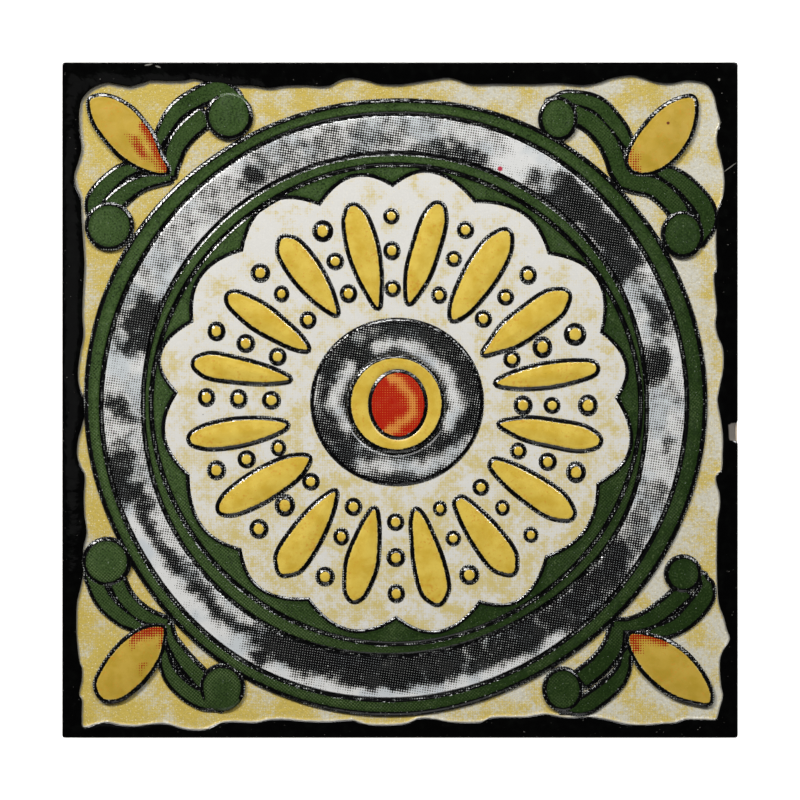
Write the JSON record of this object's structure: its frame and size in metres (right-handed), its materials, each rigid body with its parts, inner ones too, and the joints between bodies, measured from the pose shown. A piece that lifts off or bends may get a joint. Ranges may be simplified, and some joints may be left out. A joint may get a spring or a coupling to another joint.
{
  "type": "relief medallion tile",
  "caption": "Square glazed ceramic wall tile with a moulded relief medallion: petal rosette, beaded rows, banded ring, corner buds and scrolls, wavy dark border, keyed back.",
  "frame": {"origin": "middle of the back face, on the bedding plane", "axes": "+Z out of the decorated face, +Y towards the top of the picture on the face, +X to its right"},
  "size_m": [0.1, 0.1, 0.0082],
  "materials": {
    "glaze": "glossy cream glaze mottled with grainy yellow",
    "frame_glaze": "glossy black glaze of the border",
    "white_glaze": "glossy white glaze, pale yellow in places",
    "grey_print": "white glaze under a black halftone print",
    "green_glaze": "dark green glaze with a fine grain, black outlines",
    "yellow_glaze": "ochre yellow glaze, black outlines",
    "red_print": "red halftone print over yellow glaze",
    "bisque": "bare fired clay of the back and edges"
  },
  "bodies": {
    "root": {"tile": "glaze"}
  },
  "joints": []
}
